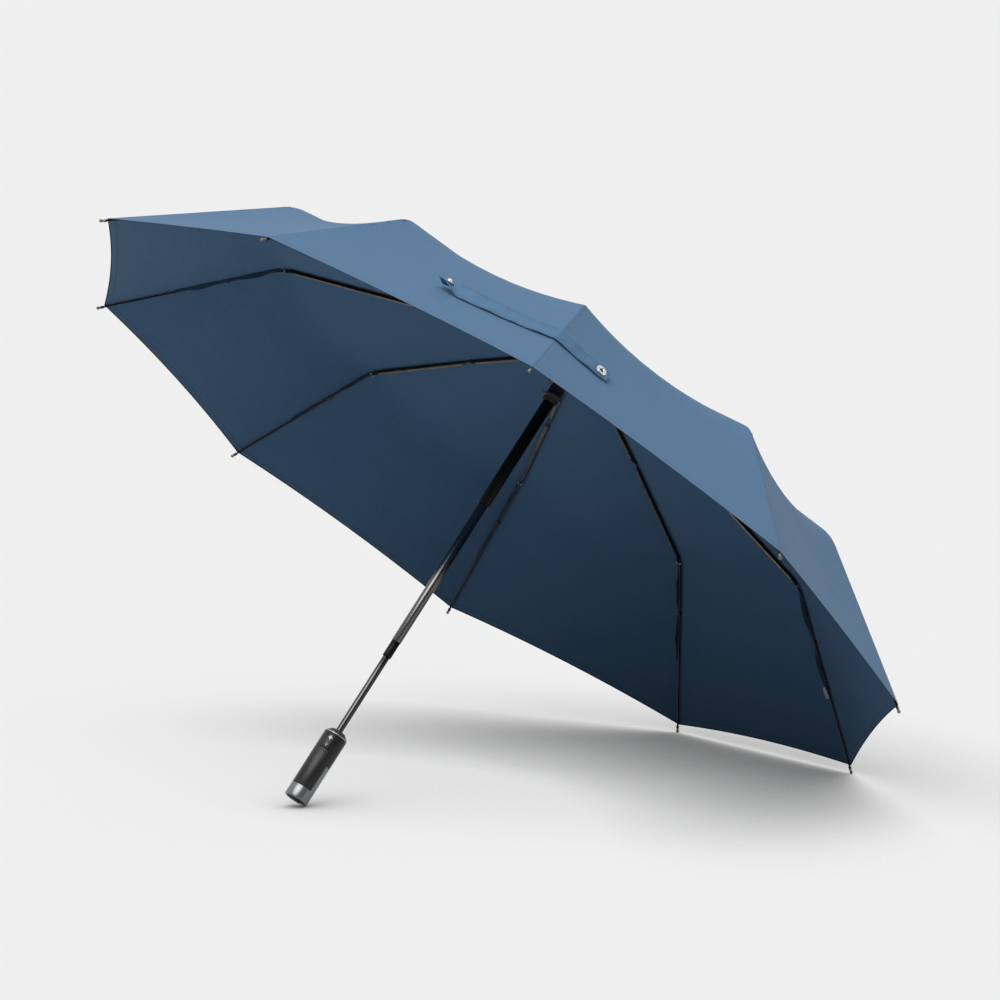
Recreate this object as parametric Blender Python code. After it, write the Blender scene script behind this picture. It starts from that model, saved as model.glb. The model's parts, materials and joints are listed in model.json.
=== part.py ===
"""Folding umbrella, open, lying on the edge of its handle and on two rib tips.

Everything is modelled in the umbrella's own frame, where Z runs up the shaft from the base of the
handle and X points to the floor. One empty tilts and places the whole of it. Metres throughout.
"""
import math

import bmesh
import bpy
from mathutils import Matrix, Vector
from mathutils.geometry import convex_hull_2d

# Driving dimensions: ribs
RIB_COUNT = 10
TOP_RIB = 0.1815
MIDDLE_RIB = 0.1735
OUTER_RIB = 0.2125
TOP_SLOPE = math.radians(9.4)
MIDDLE_SLOPE = math.radians(10.9)
OUTER_SLOPE = math.radians(39.5)
STRETCHER_PIVOT = 0.060
CHANNEL_HALF_WIDTH = 0.0018
CHANNEL_HALF_HEIGHT = 0.0016
CHANNEL_WALL = 0.0005
PLATE_HALF_WIDTH = 0.0010
HINGE_OFFSET = 0.0019
PIN_RADIUS = 0.0005
HOLE_RADIUS = 0.0008
ROD_RADIUS = 0.0011
TIP_RADIUS = 0.0020
TIP_LENGTH = 0.0095

# Driving dimensions: handle and shaft
HANDLE_LENGTH = 0.0886
HANDLE_RADIUS = 0.01375
HANDLE_WALL = 0.00285
BASE_BAND = 0.0146
SLEEVE_RISE = 0.047
TONGUE_HALF_ANGLE = math.radians(60.0)
COLLAR_HEIGHT = 0.0063
BUTTON_ANGLE = math.radians(221.0)
BUTTON_CLEARANCE = 0.0024
BUTTON_HALF_WIDTH = 0.0052
BUTTON_HALF_LENGTH = 0.0084
LOWER_SHOWN = 0.0996
BUSH_LENGTH = 0.020
MIDDLE_SHOWN = 0.184
UPPER_SHOWN = 0.206
TUBE_OVERLAP = 0.016
LOWER_RADIUS = 0.0039
BUSH_RADIUS = 0.0050
MIDDLE_RADIUS = 0.0054
UPPER_RADIUS = 0.0067
TUBE_WALL = 0.0006

# Driving dimensions: head
CROWN_HINGE_RADIUS = 0.0105
CROWN_RADIUS = 0.0122
RUNNER_HINGE_RADIUS = 0.0115
RUNNER_DROP = 0.042
SKIRT_RADIUS = 0.0120
SLOT_HALF_WIDTH = 0.0013

# Driving dimensions: canopy and strap
FABRIC_LIFT = 0.0037
FABRIC_THICKNESS = 0.0005
PANEL_DIP = 0.014
RIM_SCALLOP = 0.0058
RIM_LIFT = 0.0021
STRAP_RIB = 7
STRAP_LEFT = 0.138
STRAP_RIGHT = 0.070
STRAP_HALF_WIDTH = 0.0095
STRAP_DISTANCE = 0.107
STRAP_LIFT = 0.0024
STRAP_RISE = 0.010
STRAP_THICKNESS = 0.0012
GAP = 0.0003

# Heights along the shaft that follow from them
MIDDLE_FOOT = HANDLE_LENGTH + LOWER_SHOWN + BUSH_LENGTH
UPPER_FOOT = MIDDLE_FOOT + MIDDLE_SHOWN
CROWN_HEIGHT = UPPER_FOOT + UPPER_SHOWN
RIB_STEP = 2.0 * math.pi / RIB_COUNT
BUTTON_HEIGHT = HANDLE_LENGTH - COLLAR_HEIGHT - BUTTON_CLEARANCE - BUTTON_HALF_LENGTH


def rib_angle(number):
    """Azimuth of a rib, counted from 1; ribs 1 and 10 stand on either side of the floor line."""
    return (number - 0.5) * RIB_STEP


def along(origin, slope, x, z):
    """Point in a rib's plane, x along a rib that falls by slope and z towards the fabric."""
    dr = x * math.cos(slope) + z * math.sin(slope)
    dz = z * math.cos(slope) - x * math.sin(slope)
    return (origin[0] + dr, origin[1] + dz)


CROWN_HINGE = (CROWN_HINGE_RADIUS, CROWN_HEIGHT)
JOINT_A = along(CROWN_HINGE, TOP_SLOPE, TOP_RIB, HINGE_OFFSET)
JOINT_B = along(JOINT_A, MIDDLE_SLOPE, MIDDLE_RIB, -2.0 * HINGE_OFFSET)
PIVOT_P = along(CROWN_HINGE, TOP_SLOPE, STRETCHER_PIVOT, 0.0)
PIVOT_Q = (RUNNER_HINGE_RADIUS, CROWN_HEIGHT - RUNNER_DROP)
STRETCHER = math.dist(PIVOT_P, PIVOT_Q)
STRETCHER_SLOPE = math.atan2(PIVOT_P[1] - PIVOT_Q[1], PIVOT_Q[0] - PIVOT_P[0])

# Materials
PALETTE = {
    "fabric_blue": ((0.089, 0.184, 0.319), 0.85, 0.0),
    "black_plastic": ((0.012, 0.012, 0.013), 0.45, 0.0),
    "black_steel": ((0.020, 0.020, 0.022), 0.35, 0.6),
    "gunmetal": ((0.110, 0.108, 0.105), 0.30, 0.9),
    "bright_metal": ((0.560, 0.550, 0.540), 0.25, 1.0),
    "brass": ((0.500, 0.340, 0.120), 0.30, 1.0),
}


def material(name):
    """Principled material of that name, made once."""
    if name in bpy.data.materials:
        return bpy.data.materials[name]
    colour, roughness, metallic = PALETTE[name]
    made = bpy.data.materials.new(name)
    made.use_nodes = True
    shader = made.node_tree.nodes["Principled BSDF"]
    shader.inputs["Base Color"].default_value = (*colour, 1.0)
    shader.inputs["Roughness"].default_value = roughness
    shader.inputs["Metallic"].default_value = metallic
    made.diffuse_color = (*colour, 1.0)
    return made


def solid(name, bm, material_name=None):
    """Object from a bmesh, hung from the umbrella's empty."""
    bmesh.ops.recalc_face_normals(bm, faces=bm.faces)
    mesh = bpy.data.meshes.new(name)
    bm.to_mesh(mesh)
    bm.free()
    made = bpy.data.objects.new(name, mesh)
    bpy.context.scene.collection.objects.link(made)
    made.parent = umbrella
    if material_name:
        mesh.materials.append(material(material_name))
    return made


def combined(base, others, operation):
    """Apply a Boolean of each of the others to base and drop them."""
    for other in others:
        modifier = base.modifiers.new("combine", "BOOLEAN")
        modifier.operation = operation
        modifier.solver = "EXACT"
        modifier.object = other
        bpy.context.view_layer.update()
        graph = bpy.context.evaluated_depsgraph_get()
        mesh = bpy.data.meshes.new_from_object(base.evaluated_get(graph))
        base.modifiers.clear()
        base.data = mesh
        bpy.data.objects.remove(other)
    return base


def turned(profile, steps=40, start=0.0, sweep=2.0 * math.pi):
    """Closed profile of (radius, height) turned about Z, all round or through a sector."""
    full = sweep > 6.28
    count = steps if full else steps + 1
    bm = bmesh.new()
    rings = []
    for radius, height in profile:
        if radius < 1e-7:
            rings.append([bm.verts.new((0.0, 0.0, height))])
            continue
        ring = []
        for k in range(count):
            angle = start + sweep * k / steps
            ring.append(bm.verts.new((radius * math.cos(angle), radius * math.sin(angle), height)))
        rings.append(ring)
    for i, ring in enumerate(rings):
        following = rings[(i + 1) % len(rings)]
        for k in range(steps):
            corners = [ring[k % len(ring)], ring[(k + 1) % len(ring)]]
            corners += [following[(k + 1) % len(following)], following[k % len(following)]]
            corners = list(dict.fromkeys(corners))
            if len(corners) > 2:
                bm.faces.new(corners)
    if not full:
        bm.faces.new([ring[0] for ring in rings])
        bm.faces.new([ring[-1] for ring in rings])
    return bm


def slab(outline, half_width):
    """Outline of (x, z) points pushed out along Y to both sides."""
    bm = bmesh.new()
    near = [bm.verts.new((x, -half_width, z)) for x, z in outline]
    far = [bm.verts.new((x, half_width, z)) for x, z in outline]
    bm.faces.new(near)
    bm.faces.new(far)
    for i in range(len(outline)):
        j = (i + 1) % len(outline)
        bm.faces.new((near[i], near[j], far[j], far[i]))
    return bm


def arc(x, z, radius, first, last, steps):
    """Points on an arc, angles in degrees."""
    points = []
    for k in range(steps + 1):
        angle = math.radians(first + (last - first) * k / steps)
        points.append((x + radius * math.cos(angle), z + radius * math.sin(angle)))
    return points


def hull(points):
    """Convex outline round some points."""
    return [points[i] for i in convex_hull_2d([Vector(p) for p in points])]


def block(low, high):
    """Box between two corners."""
    outline = [(low[0], low[2]), (high[0], low[2]), (high[0], high[2]), (low[0], high[2])]
    bm = slab(outline, 0.5 * (high[1] - low[1]))
    bmesh.ops.translate(bm, verts=bm.verts, vec=(0.0, 0.5 * (low[1] + high[1]), 0.0))
    return bm


def cross_pin(x, z, radius, half_width, sides=8):
    """Round bar across a rib."""
    return slab(arc(x, z, radius, 0.0, 360.0 - 360.0 / sides, sides - 1), half_width)


def coil(radius, wire, turns, height, points=10, sides=5):
    """Helical spring about Z, with flat cut ends."""
    bm = bmesh.new()
    count = int(turns * points) + 1
    rings = []
    for k in range(count):
        angle = 2.0 * math.pi * k / points
        rise = height * k / (count - 1)
        ring = []
        for s in range(sides):
            turn = 2.0 * math.pi * s / sides
            reach = radius + wire * math.cos(turn)
            up = rise + wire * math.sin(turn)
            ring.append(bm.verts.new((reach * math.cos(angle), reach * math.sin(angle), up)))
        rings.append(ring)
    for first, second in zip(rings, rings[1:]):
        for s in range(sides):
            t = (s + 1) % sides
            bm.faces.new((first[s], first[t], second[t], second[s]))
    bm.faces.new(rings[0])
    bm.faces.new(rings[-1])
    return bm


def at_angle(made, angle, radius, height, slope=0.0):
    """Place an object in the rib plane of that azimuth."""
    made.location = (radius * math.cos(angle), radius * math.sin(angle), height)
    made.rotation_euler = (0.0, slope, angle)
    return made


def round_the_ribs(name, pattern, place, slope):
    """Ten copies of one rib piece, each on its own hinge axis."""
    for number in range(1, RIB_COUNT + 1):
        copy = bpy.data.objects.new(f"{name}_{number:02d}", pattern.data)
        bpy.context.scene.collection.objects.link(copy)
        copy.parent = umbrella
        at_angle(copy, rib_angle(number), place[0], place[1], slope)
    bpy.data.objects.remove(pattern)


# Clear the start-up scene and make the empty that everything hangs from
for old in list(bpy.data.objects):
    bpy.data.objects.remove(old)
umbrella = bpy.data.objects.new("umbrella", None)
bpy.context.scene.collection.objects.link(umbrella)


# Handle: angles round the shell, with the tongue's edges among them
def shell_angles(half_angle):
    """Angles round the handle, 14 steps across the tongue and 26 round the back."""
    angles = []
    for k in range(14):
        angles.append(BUTTON_ANGLE - half_angle + 2.0 * half_angle * k / 14)
    for k in range(26):
        angles.append(BUTTON_ANGLE + half_angle + (2.0 * math.pi - 2.0 * half_angle) * k / 26)
    return angles


def shell(angles, inner_radius, levels, kept):
    """Round wall of cells between (radius, height) levels, with only the cells that kept() allows."""
    bm = bmesh.new()
    count = len(angles)

    def ring(radius, height):
        return [bm.verts.new((radius * math.cos(a), radius * math.sin(a), height)) for a in angles]

    outer = [ring(radius, height) for radius, height in levels]
    inner_rings = [ring(inner_radius, height) for _, height in levels]

    def present(i, j):
        return 0 <= j < len(levels) - 1 and kept(i % count, j)

    for j in range(len(levels) - 1):
        for i in range(count):
            if not present(i, j):
                continue
            m = (i + 1) % count
            bm.faces.new((outer[j][i], outer[j][m], outer[j + 1][m], outer[j + 1][i]))
            bm.faces.new((inner_rings[j][i], inner_rings[j + 1][i], inner_rings[j + 1][m], inner_rings[j][m]))
            sides = [((i, j - 1), (i, j), (m, j)), ((i, j + 1), (m, j + 1), (i, j + 1))]
            sides += [((i - 1, j), (i, j + 1), (i, j)), ((i + 1, j), (m, j), (m, j + 1))]
            for neighbour, first, second in sides:
                if not present(*neighbour):
                    a, b = first
                    c, d = second
                    bm.faces.new((outer[b][a], inner_rings[b][a], inner_rings[d][c], outer[d][c]))
    loose = [vertex for vertex in bm.verts if not vertex.link_faces]
    bmesh.ops.delete(bm, geom=loose, context="VERTS")
    return bm


# Handle: metal sleeve with a band at the base and a wing up the back
inner = HANDLE_RADIUS - HANDLE_WALL
base_edge = 0.0005
clear_angle = 0.5 * GAP / HANDLE_RADIUS
sleeve_levels = [
    (HANDLE_RADIUS - base_edge, 0.0), (HANDLE_RADIUS, base_edge),
    (HANDLE_RADIUS, BASE_BAND), (HANDLE_RADIUS, SLEEVE_RISE),
]
sleeve_angles = shell_angles(TONGUE_HALF_ANGLE + clear_angle)
sleeve_shell = shell(sleeve_angles, inner, sleeve_levels, lambda i, j: j < 2 or i >= 14)
handle_sleeve = solid("handle_sleeve", sleeve_shell, "gunmetal")

# Handle: moulded grip, round at the top and a tongue let into the sleeve below
grip_top = HANDLE_LENGTH - COLLAR_HEIGHT - GAP
grip_levels = [
    (HANDLE_RADIUS, BASE_BAND + GAP), (HANDLE_RADIUS, SLEEVE_RISE + GAP), (HANDLE_RADIUS, grip_top),
]
grip_angles = shell_angles(TONGUE_HALF_ANGLE - clear_angle)
grip_shell = shell(grip_angles, inner, grip_levels, lambda i, j: j > 0 or i < 14)
handle_grip = solid("handle_grip", grip_shell, "black_plastic")
window_low = (inner - 0.004, -BUTTON_HALF_WIDTH - GAP, -BUTTON_HALF_LENGTH - GAP)
window_high = (HANDLE_RADIUS + 0.004, BUTTON_HALF_WIDTH + GAP, BUTTON_HALF_LENGTH + GAP)
window = at_angle(solid("window", block(window_low, window_high)), BUTTON_ANGLE, 0.0, BUTTON_HEIGHT)
combined(handle_grip, [window], "DIFFERENCE")

# Handle: core that holds the lower tube, with a pocket behind the button
core_radius = inner - GAP - 0.0001
core_profile = [
    (LOWER_RADIUS + GAP, 0.006), (core_radius, 0.006),
    (core_radius, grip_top), (LOWER_RADIUS + GAP, grip_top),
]
handle_core = solid("handle_core", turned(core_profile), "black_plastic")
pocket_floor = LOWER_RADIUS + 0.0023
pocket_low = (pocket_floor, -BUTTON_HALF_WIDTH - 0.0008, -BUTTON_HALF_LENGTH - 0.0008)
pocket_high = (0.02, BUTTON_HALF_WIDTH + 0.0008, BUTTON_HALF_LENGTH + 0.0008)
pocket = at_angle(solid("pocket", block(pocket_low, pocket_high)), BUTTON_ANGLE, 0.0, BUTTON_HEIGHT)
combined(handle_core, [pocket], "DIFFERENCE")

# Handle: bright conical collar round the foot of the shaft
collar_profile = [
    (LOWER_RADIUS + GAP, 0.0), (HANDLE_RADIUS, 0.0), (HANDLE_RADIUS, 0.0012),
    (0.0085, COLLAR_HEIGHT), (LOWER_RADIUS + GAP, COLLAR_HEIGHT),
]
handle_collar = solid("handle_collar", turned(collar_profile), "bright_metal")
handle_collar.location = (0.0, 0.0, HANDLE_LENGTH - COLLAR_HEIGHT)

# Handle: dark cap set back in the base band
cap_radius = inner - GAP
cap_profile = [
    (0.0, 0.0), (0.007, 0.0), (0.0075, -0.0006), (cap_radius - 0.0005, -0.0006),
    (cap_radius, 0.0), (cap_radius, 0.0042), (0.0, 0.0042),
]
base_cap = solid("base_cap", turned(cap_profile), "black_plastic")
base_cap.location = (0.0, 0.0, 0.0015)

# Handle: push button with a curved face, and the spring behind it
button_depth = inner - 0.0007
button_outline = []
for corner, first in (((1, 1), 0.0), ((-1, 1), 90.0), ((-1, -1), 180.0), ((1, -1), 270.0)):
    round_y = corner[0] * (BUTTON_HALF_WIDTH - 0.0022)
    round_z = corner[1] * (BUTTON_HALF_LENGTH - 0.0022)
    button_outline += arc(round_y, round_z, 0.0022, first, first + 90.0, 3)
button_body = slab(button_outline, 0.004)
turn = Matrix.Rotation(-0.5 * math.pi, 4, "Z")
bmesh.ops.transform(button_body, matrix=turn, verts=button_body.verts)
bmesh.ops.translate(button_body, verts=button_body.verts, vec=(button_depth + 0.004, 0.0, 0.0))
push_button = solid("push_button", button_body, "black_plastic")
face_profile = [(0.0, -0.02), (HANDLE_RADIUS + 0.0007, -0.02), (HANDLE_RADIUS + 0.0007, 0.02), (0.0, 0.02)]
face = solid("face", turned(face_profile, 60))
combined(push_button, [face], "INTERSECT")
at_angle(push_button, BUTTON_ANGLE, 0.0, BUTTON_HEIGHT)
spring_room = button_depth - pocket_floor
button_spring = solid("button_spring", coil(0.0024, 0.00035, 4.0, spring_room - 0.0013), "bright_metal")
at_angle(button_spring, BUTTON_ANGLE, pocket_floor + 0.00065, BUTTON_HEIGHT, 0.5 * math.pi)

# Shaft: three tubes and the bush at the foot of the middle one
def tube(radius, wall, length):
    """Plain tube standing on Z = 0."""
    return turned([(radius - wall, 0.0), (radius, 0.0), (radius, length), (radius - wall, length)], 24)


lower_foot = 0.008
lower_tube = solid("lower_tube", tube(LOWER_RADIUS, TUBE_WALL, MIDDLE_FOOT + TUBE_OVERLAP - lower_foot), "gunmetal")
lower_tube.location = (0.0, 0.0, lower_foot)
middle_wall = 0.0005
middle_tube = solid("middle_tube", tube(MIDDLE_RADIUS, middle_wall, MIDDLE_SHOWN + TUBE_OVERLAP), "gunmetal")
middle_tube.location = (0.0, 0.0, MIDDLE_FOOT)
spigot = MIDDLE_RADIUS - middle_wall - GAP
bush_profile = [
    (LOWER_RADIUS + GAP, 0.0), (BUSH_RADIUS, 0.0), (BUSH_RADIUS, BUSH_LENGTH - GAP),
    (spigot, BUSH_LENGTH - GAP), (spigot, BUSH_LENGTH + 0.010), (LOWER_RADIUS + GAP, BUSH_LENGTH + 0.010),
]
middle_bush = solid("middle_bush", turned(bush_profile, 24), "black_steel")
middle_bush.location = (0.0, 0.0, MIDDLE_FOOT - BUSH_LENGTH)
upper_tube = solid("upper_tube", tube(UPPER_RADIUS, 0.0008, UPPER_SHOWN + 0.0008), "black_steel")
upper_tube.location = (0.0, 0.0, UPPER_FOOT)


# Head: crown with ten slots and a groove for the hinge wire
def radial_slots(made, floor, low, high):
    """Cut one slot for each rib into a turned head."""
    cutters = []
    for number in range(1, RIB_COUNT + 1):
        bm = block((floor, -SLOT_HALF_WIDTH, low), (0.03, SLOT_HALF_WIDTH, high))
        cutter = solid("slot", bm)
        cutter.location = made.location
        cutter.rotation_euler = (0.0, 0.0, rib_angle(number))
        cutters.append(cutter)
    combined(made, cutters, "DIFFERENCE")


bore = UPPER_RADIUS + GAP
groove = CROWN_HINGE_RADIUS - 0.0012
crown_profile = [
    (bore, -0.008), (bore + 0.0016, -0.008), (bore + 0.0016, -0.0045), (CROWN_RADIUS, -0.0045),
    (CROWN_RADIUS, -0.001), (groove, -0.001), (groove, 0.001), (CROWN_RADIUS, 0.001),
    (CROWN_RADIUS, 0.0024), (0.0055, 0.0024), (0.0055, 0.009), (0.0, 0.009), (0.0, 0.0012), (bore, 0.0012),
]
crown = solid("crown", turned(crown_profile, 30, 0.5 * RIB_STEP), "black_plastic")
crown.location = (0.0, 0.0, CROWN_HEIGHT)
radial_slots(crown, CROWN_HINGE_RADIUS - 0.0017, -0.02, 0.02)

# Head: wire ring that every top rib turns on
wire_ring = [(CROWN_HINGE_RADIUS + x, z) for x, z in arc(0.0, 0.0, 0.00055, 0.0, 300.0, 5)]
crown_wire = solid("crown_wire", turned(wire_ring, 30, 0.5 * RIB_STEP), "bright_metal")
crown_wire.location = (0.0, 0.0, CROWN_HEIGHT)

# Head: cap that holds the fabric on the crown
cap_profile = [
    (0.0058, 0.0056), (0.014, 0.0046), (0.0144, 0.0056), (0.0125, 0.0078), (0.0078, 0.0096),
    (0.0070, 0.0125), (0.0045, 0.0152), (0.0, 0.0160), (0.0, 0.0094), (0.0058, 0.0094),
]
top_cap = solid("top_cap", turned(cap_profile, 24), "black_plastic")
top_cap.location = (0.0, 0.0, CROWN_HEIGHT)

# Head: runner with a slotted flange for the stretchers and a flared skirt with a bright ring
slide = UPPER_RADIUS + 0.0004
barrel = slide + 0.0014
flange = RUNNER_HINGE_RADIUS + 0.0017
runner_profile = [
    (slide, -0.024), (barrel + 0.0003, -0.024), (barrel + 0.0006, -0.0188), (SKIRT_RADIUS - 0.0004, -0.0186),
    (SKIRT_RADIUS, -0.0180), (SKIRT_RADIUS, -0.0173), (SKIRT_RADIUS - 0.001, -0.0173),
    (SKIRT_RADIUS - 0.001, -0.0158), (SKIRT_RADIUS - 0.0012, -0.0158), (barrel, -0.0120), (barrel, -0.0025),
    (flange, -0.0025), (flange, 0.0025), (barrel + 0.0004, 0.0025), (barrel + 0.0004, 0.0070), (slide, 0.0070),
]
runner = solid("runner", turned(runner_profile, 30, 0.5 * RIB_STEP), "black_plastic")
runner.location = (0.0, 0.0, PIVOT_Q[1])
radial_slots(runner, RUNNER_HINGE_RADIUS - 0.0018, -0.003, 0.003)
ring_profile = [
    (SKIRT_RADIUS - 0.0007, -0.0170), (SKIRT_RADIUS + 0.0001, -0.0170),
    (SKIRT_RADIUS + 0.0001, -0.0161), (SKIRT_RADIUS - 0.0007, -0.0161),
]
runner_ring = solid("runner_ring", turned(ring_profile, 30, 0.5 * RIB_STEP), "brass")
runner_ring.location = runner.location

# Top ribs: flat eye on the crown wire, channel open below, fork at joint A
slot_half = CHANNEL_HALF_WIDTH - CHANNEL_WALL
high = CHANNEL_HALF_HEIGHT
body = [(0.008, -high), (TOP_RIB - 0.007, -high)]
body += arc(TOP_RIB, HINGE_OFFSET, 0.0014, -90.0, 90.0, 4)
body += [(TOP_RIB - 0.007, high), (0.008, high)]
top_rib = solid("top_rib", slab(body, CHANNEL_HALF_WIDTH), "black_steel")
eye = arc(0.0, 0.0, 0.0014, 0.0, 315.0, 7) + [(0.015, -high + 0.0001), (0.015, high - 0.0001)]
shank = solid("shank", slab(hull(eye), PLATE_HALF_WIDTH))
combined(top_rib, [shank], "UNION")
channel = solid("channel", block((0.015, -slot_half, -0.01), (TOP_RIB - 0.006, slot_half, high - CHANNEL_WALL)))
fork = solid("fork", block((TOP_RIB - 0.007, -slot_half, -0.01), (TOP_RIB + 0.01, slot_half, 0.01)))
eye_hole = solid("eye_hole", cross_pin(0.0, 0.0, 0.0009, 0.004))
pivot_hole = solid("pivot_hole", cross_pin(STRETCHER_PIVOT, 0.0, HOLE_RADIUS, 0.004))
fork_hole = solid("fork_hole", cross_pin(TOP_RIB, HINGE_OFFSET, HOLE_RADIUS, 0.004))
combined(top_rib, [channel, fork, eye_hole, pivot_hole, fork_hole], "DIFFERENCE")
round_the_ribs("top_rib", top_rib, CROWN_HINGE, TOP_SLOPE)

# Stretchers: narrow bars that lie in the top rib's channel and hook into the runner's slots
stretcher_outline = arc(0.0, 0.0, 0.0009, 0.0, 315.0, 7) + arc(STRETCHER, 0.0, 0.0014, 0.0, 315.0, 7)
stretcher = solid("stretcher", slab(hull(stretcher_outline), PLATE_HALF_WIDTH), "black_steel")
stretcher_pin = solid("pin", cross_pin(0.0, 0.0, PIN_RADIUS, CHANNEL_HALF_WIDTH - 0.00005))
combined(stretcher, [stretcher_pin], "UNION")
stretcher_hole = solid("hole", cross_pin(STRETCHER, 0.0, 0.0007, 0.004))
combined(stretcher, [stretcher_hole], "DIFFERENCE")
round_the_ribs("stretcher", stretcher, PIVOT_P, STRETCHER_SLOPE)

# Middle ribs: plate and pin at joint A, channel open below, fork at joint B
low_edge = -HINGE_OFFSET - high
high_edge = -HINGE_OFFSET + high
body = [(0.009, low_edge), (MIDDLE_RIB - 0.007, low_edge)]
body += arc(MIDDLE_RIB, -2.0 * HINGE_OFFSET, 0.0014, -90.0, 90.0, 4)
body += [(MIDDLE_RIB - 0.007, high_edge), (0.009, high_edge)]
middle_rib = solid("middle_rib", slab(body, CHANNEL_HALF_WIDTH), "black_steel")
plate = arc(0.0, 0.0, 0.0013, 0.0, 315.0, 7) + [(0.0125, low_edge + 0.0001), (0.0125, high_edge - 0.0001)]
plate = solid("plate", slab(hull(plate), PLATE_HALF_WIDTH))
pin = solid("pin", cross_pin(0.0, 0.0, PIN_RADIUS, CHANNEL_HALF_WIDTH - 0.00005))
combined(middle_rib, [plate, pin], "UNION")
channel_high = (MIDDLE_RIB - 0.006, slot_half, high_edge - CHANNEL_WALL)
channel = solid("channel", block((0.0125, -slot_half, -0.01), channel_high))
fork = solid("fork", block((MIDDLE_RIB - 0.007, -slot_half, -0.01), (MIDDLE_RIB + 0.01, slot_half, 0.01)))
fork_hole = solid("fork_hole", cross_pin(MIDDLE_RIB, -2.0 * HINGE_OFFSET, HOLE_RADIUS, 0.004))
combined(middle_rib, [channel, fork, fork_hole], "DIFFERENCE")
round_the_ribs("middle_rib", middle_rib, JOINT_A, MIDDLE_SLOPE)

# Outer ribs: plate and pin at joint B, round rod, metal tip past the fabric
rod_end = OUTER_RIB + 0.0006
rod_profile = [
    (0.0, 0.007), (ROD_RADIUS, 0.007), (ROD_RADIUS, rod_end), (TIP_RADIUS * 0.85, rod_end + 0.0006),
    (TIP_RADIUS * 0.85, rod_end + 0.0034), (TIP_RADIUS * 0.6, rod_end + 0.0042),
]
ball = OUTER_RIB + TIP_LENGTH - TIP_RADIUS
rod_profile += [(r, ball + x) for x, r in arc(0.0, 0.0, TIP_RADIUS, 130.0, 0.0, 4)]
rod_profile[-1] = (0.0, ball + TIP_RADIUS)
rod = turned(rod_profile, 8)
bmesh.ops.transform(rod, matrix=Matrix.Rotation(0.5 * math.pi, 4, "Y"), verts=rod.verts)
bmesh.ops.translate(rod, verts=rod.verts, vec=(0.0, 0.0, HINGE_OFFSET))
outer_rib = solid("outer_rib", rod, "black_steel")
plate = arc(0.0, 0.0, 0.0013, 0.0, 315.0, 7)
plate += [(0.012, HINGE_OFFSET - 0.0007), (0.012, HINGE_OFFSET + 0.0007)]
plate = solid("plate", slab(hull(plate), PLATE_HALF_WIDTH))
pin = solid("pin", cross_pin(0.0, 0.0, PIN_RADIUS, CHANNEL_HALF_WIDTH - 0.00005))
combined(outer_rib, [plate, pin], "UNION")
round_the_ribs("outer_rib", outer_rib, JOINT_B, OUTER_SLOPE)

# Canopy: lines of the cloth along a rib, from the neck to the rim, with how far each row dips
def fabric_rows():
    """(radius, height, dip along the shaft, scallop towards the crown) for each row of the cloth."""
    half = 0.5 * (OUTER_SLOPE - MIDDLE_SLOPE)
    reach = (HINGE_OFFSET + FABRIC_LIFT) / math.cos(half)
    bend = along(JOINT_B, 0.5 * (OUTER_SLOPE + MIDDLE_SLOPE), 0.0, reach)
    tip = along(JOINT_B, OUTER_SLOPE, OUTER_RIB, HINGE_OFFSET + RIM_LIFT)
    rows = []
    for x, dip in ((-0.003, 0.0), (0.012, 0.04), (0.5 * TOP_RIB, 0.29)):
        rows.append((*along(CROWN_HINGE, TOP_SLOPE, x, FABRIC_LIFT), dip * PANEL_DIP, 0.0))
    rows.append((*along(CROWN_HINGE, TOP_SLOPE, TOP_RIB, FABRIC_LIFT), 0.57 * PANEL_DIP, 0.0))
    middle = along(JOINT_A, MIDDLE_SLOPE, 0.55 * MIDDLE_RIB, FABRIC_LIFT - HINGE_OFFSET)
    rows.append((*middle, 0.86 * PANEL_DIP, 0.0))
    rows.append((*bend, PANEL_DIP, 0.0))
    for part, dip, scallop in ((0.33, 0.79, 0.1), (0.66, 0.43, 0.45), (1.0, 0.0, 1.0)):
        r = bend[0] + part * (tip[0] - bend[0])
        z = bend[1] + part * (tip[1] - bend[1])
        rows.append((r, z, dip * PANEL_DIP, scallop * RIM_SCALLOP))
    return rows


ROWS = fabric_rows()


def fabric_point(row, panel):
    """Point of the cloth on a row, panel counted in ribs from rib 1, 0.5 being halfway to rib 2."""
    r, z, dip, scallop = row
    number = math.floor(panel + 1e-9)
    share = panel - number
    first = rib_angle(number + 1)
    second = rib_angle(number + 2)
    x = r * ((1.0 - share) * math.cos(first) + share * math.cos(second))
    y = r * ((1.0 - share) * math.sin(first) + share * math.sin(second))
    hollow = 4.0 * share * (1.0 - share)
    pull = 1.0 - hollow * scallop * math.cos(OUTER_SLOPE) / r
    z += hollow * (scallop * math.sin(OUTER_SLOPE) - dip)
    return Vector((x * pull, y * pull, z))


def sheet(name, grid, thickness, closed):
    """Thin solid from a grid of points, thickened away from the shaft side."""
    bm = bmesh.new()
    rows = [[bm.verts.new(point) for point in line] for line in grid]
    for first, second in zip(rows, rows[1:]):
        count = len(first)
        for k in range(count if closed else count - 1):
            m = (k + 1) % count
            bm.faces.new((first[k], second[k], second[m], first[m]))
    mesh = bpy.data.meshes.new(name)
    bm.to_mesh(mesh)
    bm.free()
    made = bpy.data.objects.new(name, mesh)
    bpy.context.scene.collection.objects.link(made)
    made.parent = umbrella
    thicken = made.modifiers.new("thickness", "SOLIDIFY")
    thicken.thickness = thickness
    thicken.offset = 1.0
    mesh.materials.append(material("fabric_blue"))
    return made


PANEL_COLUMNS = 4
columns = [k / PANEL_COLUMNS for k in range(RIB_COUNT * PANEL_COLUMNS)]
canopy = sheet("canopy", [[fabric_point(row, c) for c in columns] for row in ROWS], FABRIC_THICKNESS, True)

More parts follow.
